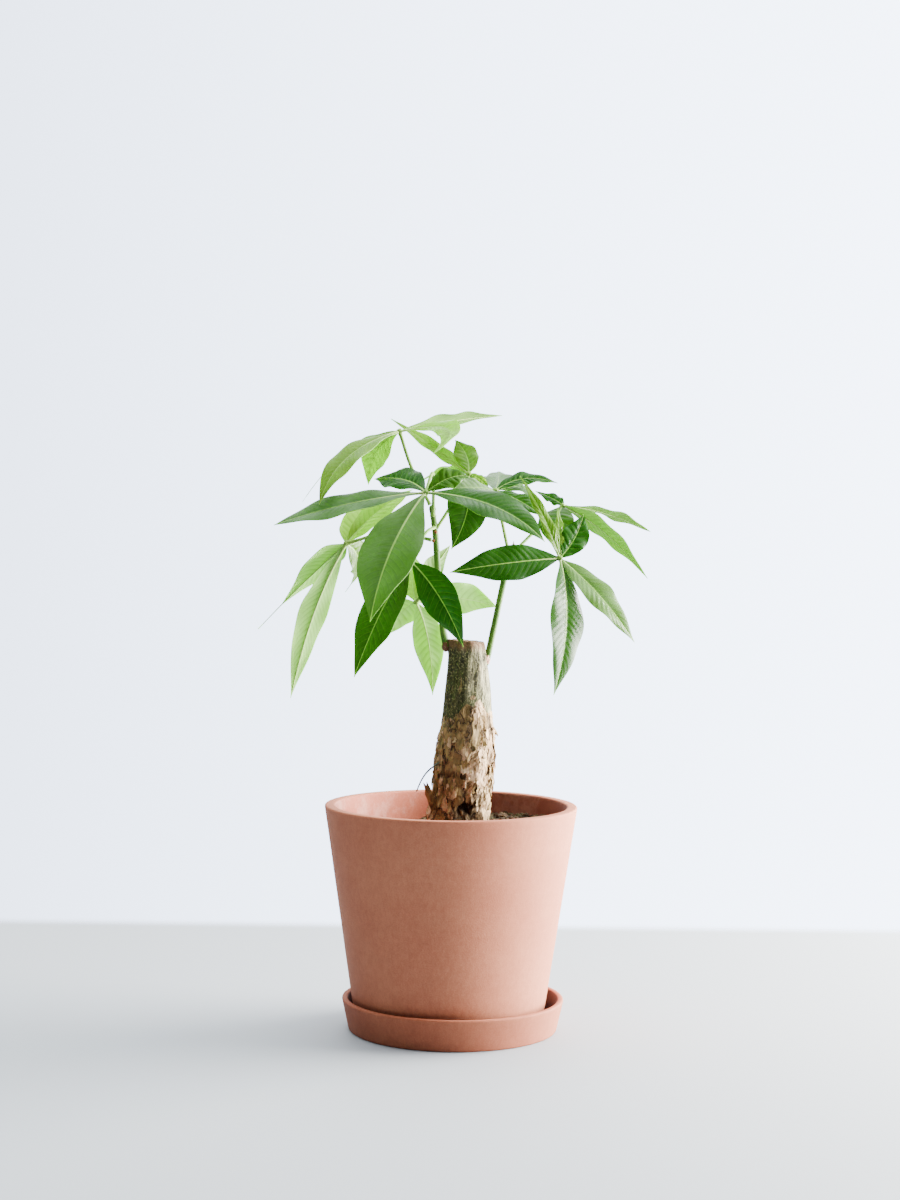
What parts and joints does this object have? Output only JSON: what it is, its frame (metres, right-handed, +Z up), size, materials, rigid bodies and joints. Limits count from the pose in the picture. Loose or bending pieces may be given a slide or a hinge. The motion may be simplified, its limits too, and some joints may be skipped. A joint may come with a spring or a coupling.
{
  "type": "potted money tree",
  "caption": "Money tree with a thick cut trunk, green side shoots and palmate leaves of pointed leaflets, in a tapered clay pot on a shallow saucer",
  "frame": {"origin": "on the ground under the pot's axis, on the flat underside of the saucer", "axes": "+Z up, +X to the viewer's right in the picture, -Y towards the viewer"},
  "size_m": [0.3197, 0.2225, 0.4901],
  "materials": {
    "clay_pot": "matt unglazed clay, paler at the lip",
    "clay_saucer": "matt unglazed clay",
    "soil": "dark crumbly potting mix with moss",
    "bark": "grey-olive above, peeling tan plates below",
    "green_stem": "smooth green bark",
    "leaf_dark": "glossy dark green, lighter midrib",
    "leaf_light": "satin yellow-green",
    "leaf_pale": "satin pale green"
  },
  "bodies": {
    "root": {"saucer": "clay_saucer", "pot": "clay_pot", "soil": "soil", "trunk": "bark", "shoot_left": "green_stem", "shoot_right": "green_stem", "leaf_crown": "leaf_light", "leaf_front": "leaf_dark", "leaf_middle": "leaf_light", "leaf_upper_right": "leaf_dark", "leaf_right_front": "leaf_dark", "leaf_right_back": "leaf_light", "leaf_left": "leaf_pale", "leaf_low_front": "leaf_dark", "leaf_low_back": "leaf_pale"}
  },
  "joints": []
}
